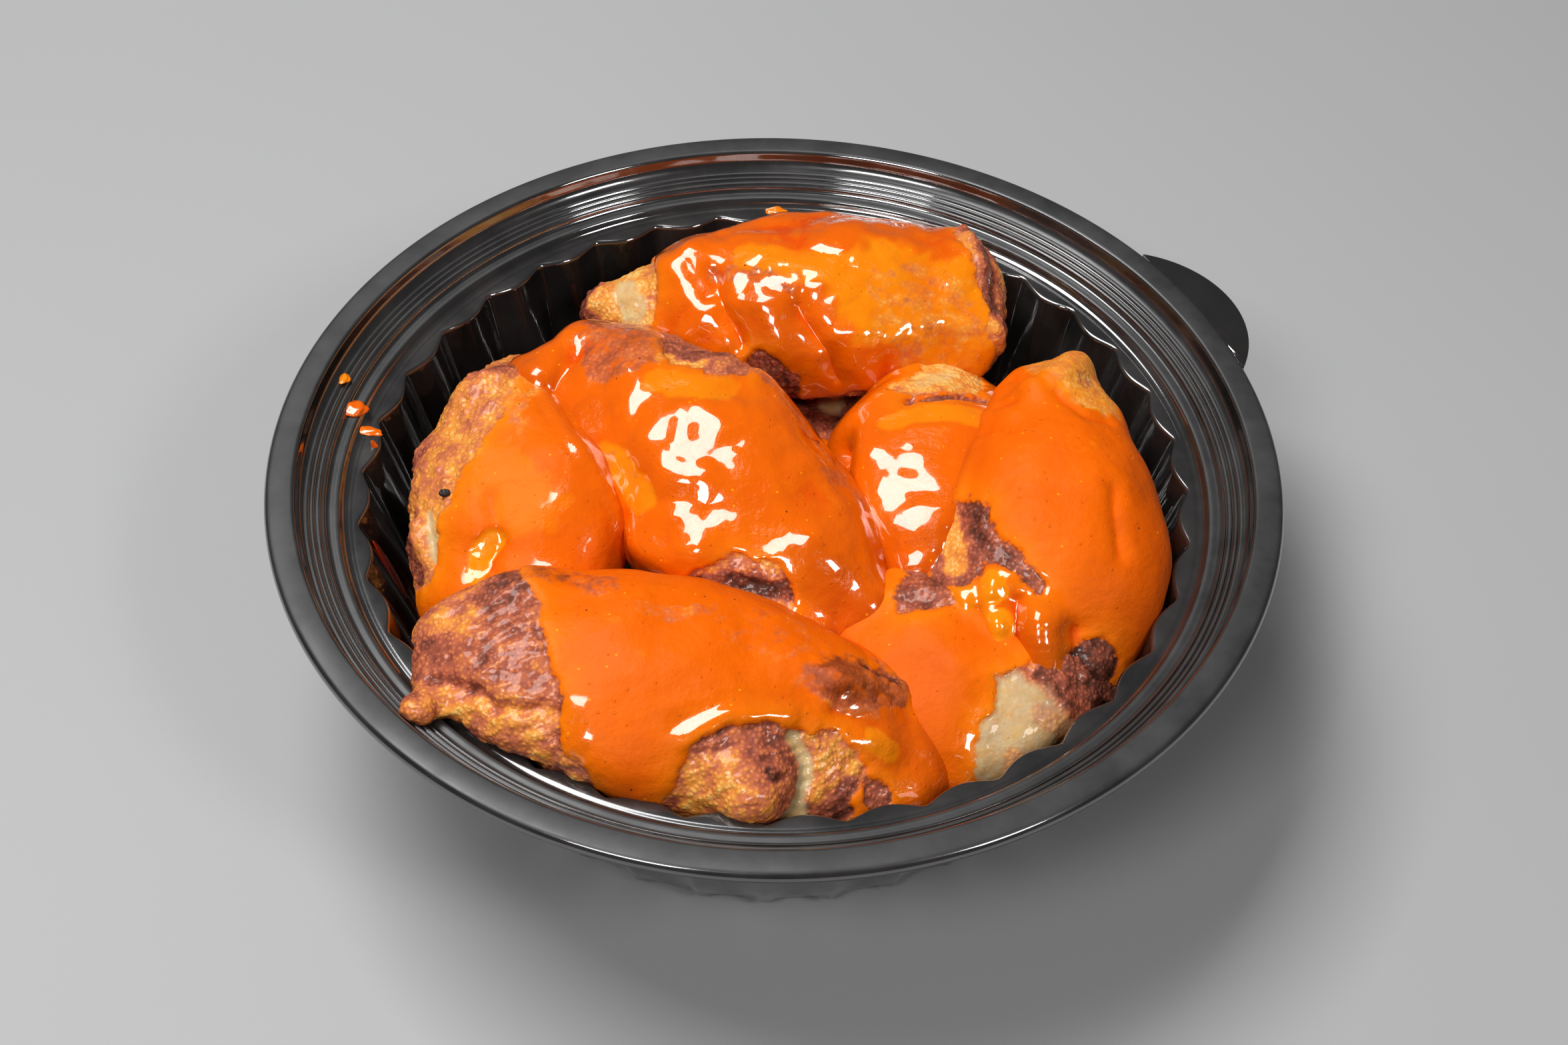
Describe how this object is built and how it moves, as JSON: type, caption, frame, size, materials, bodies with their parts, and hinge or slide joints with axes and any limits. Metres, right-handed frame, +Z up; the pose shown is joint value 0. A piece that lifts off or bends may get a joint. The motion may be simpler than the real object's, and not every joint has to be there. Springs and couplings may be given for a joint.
{
  "type": "chicken wings serving",
  "caption": "Sauced chicken wings piled in a round black takeaway bowl with a fluted wall, a stepped rim and a lift tab. A hot food serving that stands on its flat base.",
  "frame": {"origin": "centre of the bowl's flat underside", "axes": "+Z up, -Y to the front of the serving, +X to its right; the lift tab points about 27 degrees from +X towards +Y"},
  "size_m": [0.19, 0.19, 0.0599],
  "materials": {
    "black_plastic": "black formed plastic, glossy inside, satin on the rim",
    "sauced_wing": "browned crisp skin under thick glossy orange hot sauce"
  },
  "bodies": {
    "root": {"bowl": "black_plastic", "wing_centre": "sauced_wing", "wing_front": "sauced_wing", "wing_right": "sauced_wing", "wing_back": "sauced_wing", "wing_inner_right": "sauced_wing", "wing_front_right": "sauced_wing", "wing_left": "sauced_wing", "wing_under": "sauced_wing"}
  },
  "joints": []
}
